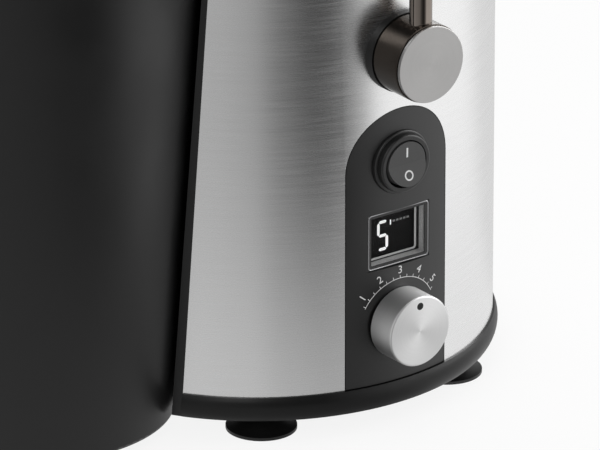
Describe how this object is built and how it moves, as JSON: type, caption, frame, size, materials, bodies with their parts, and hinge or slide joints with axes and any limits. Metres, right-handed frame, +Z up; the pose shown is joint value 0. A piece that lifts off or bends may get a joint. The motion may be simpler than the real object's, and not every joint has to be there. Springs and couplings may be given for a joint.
{
  "type": "centrifugal juicer",
  "caption": "Centrifugal juicer with a brushed steel motor base, arched control panel, swing-over locking arm, feed chute with pusher, and a removable pulp bin.",
  "frame": {"origin": "on the counter, under the middle of the machine's outline", "axes": "+Z up, the control panel faces -Y, the pulp bin is on the -X side and the spout points to +X"},
  "size_m": [0.348, 0.253, 0.423],
  "materials": {
    "black_plastic": "fine matte moulded",
    "gloss_black": "gloss moulded",
    "grey_plastic": "satin moulded",
    "clear_plastic": "clear moulded",
    "brushed_shell": "brushed around",
    "bright_steel": "ground",
    "polished_bar": "polished",
    "gunmetal": "dark gloss plated",
    "satin_aluminium": "spun satin",
    "cast_aluminium": "as cast",
    "lamination_steel": "stacked sheets",
    "copper": "wound wire",
    "carbon": "pressed carbon",
    "circuit_board": "coated board",
    "display_glass": "dark glass",
    "rubber": "matte rubber"
  },
  "bodies": {
    "motor_base": {"base_pan": "black_plastic", "suction_foot_front_left": "rubber", "suction_foot_front_right": "rubber", "suction_foot_rear_left": "rubber", "suction_foot_rear_right": "rubber", "base_screws": "bright_steel", "steel_shell": "brushed_shell", "bin_nest": "black_plastic", "top_deck": "black_plastic", "spindle_seal": "rubber", "control_panel": "black_plastic", "switch_bezel": "gloss_black", "switch_body": "black_plastic", "display_frame": "grey_plastic", "display_window": "clear_plastic", "lcd_module": "display_glass", "control_board": "circuit_board", "speed_encoder": "black_plastic", "pivot_flange_front": "black_plastic", "pivot_flange_rear": "black_plastic", "pivot_boss_front": "black_plastic", "pivot_boss_rear": "black_plastic", "pivot_pin_front": "bright_steel", "pivot_pin_rear": "bright_steel", "safety_switch": "black_plastic", "cord_gland": "rubber", "stator_core": "lamination_steel", "field_coils": "copper", "upper_bracket": "cast_aluminium", "lower_bracket": "cast_aluminium", "upper_bearing": "bright_steel", "lower_bearing": "bright_steel", "brush_holders": "black_plastic", "carbon_brushes": "carbon", "motor_mounts": "rubber", "motor_screws": "bright_steel", "filter_bowl": "grey_plastic", "bowl_seal": "rubber", "lid": "clear_plastic"},
    "spindle": {"motor_shaft": "bright_steel", "armature_core": "lamination_steel", "armature_coils": "copper", "commutator": "copper", "cooling_fan": "black_plastic", "drive_coupling": "black_plastic", "basket_hub": "grey_plastic", "filter_basket": "bright_steel", "basket_rim": "grey_plastic", "grating_disc": "bright_steel"},
    "locking_arm": {"locking_bar": "polished_bar", "arm_hub_front": "gunmetal", "arm_hub_rear": "gunmetal", "hub_cap_front": "satin_aluminium", "hub_cap_rear": "satin_aluminium"},
    "rocker": {"rocker_button": "gloss_black"},
    "speed_dial": {"speed_knob": "satin_aluminium", "knob_pointer": "black_plastic", "encoder_shaft": "bright_steel"},
    "food_pusher": {"pusher": "black_plastic"},
    "pulp_container": {"pulp_bin": "black_plastic"}
  },
  "joints": [
    {"name": "spindle_spin", "type": "hinge", "parent": "motor_base", "child": "spindle", "pos_m": [0.035, 0, 0.115], "axis": [0, 0, 1], "continuous": true},
    {"name": "arm_swing", "type": "hinge", "parent": "motor_base", "child": "locking_arm", "pos_m": [0.035, 0, 0.176], "axis": [0, 1, 0], "range_deg": [0, 105]},
    {"name": "switch_rock", "type": "hinge", "parent": "motor_base", "child": "rocker", "pos_m": [0.035, -0.1066, 0.124], "axis": [1, 0, 0], "range_deg": [0, 16]},
    {"name": "dial_turn", "type": "hinge", "parent": "motor_base", "child": "speed_dial", "pos_m": [0.035, -0.112, 0.0486], "axis": [0, -1, 0], "range_deg": [-60, 60]},
    {"name": "pusher_lift", "type": "slide", "parent": "motor_base", "child": "food_pusher", "axis": [0, 0, 1], "range_m": [0, 0.14]},
    {"name": "bin_pull", "type": "slide", "parent": "motor_base", "child": "pulp_container", "axis": [-1, 0, 0], "range_m": [0, 0.16]}
  ]
}
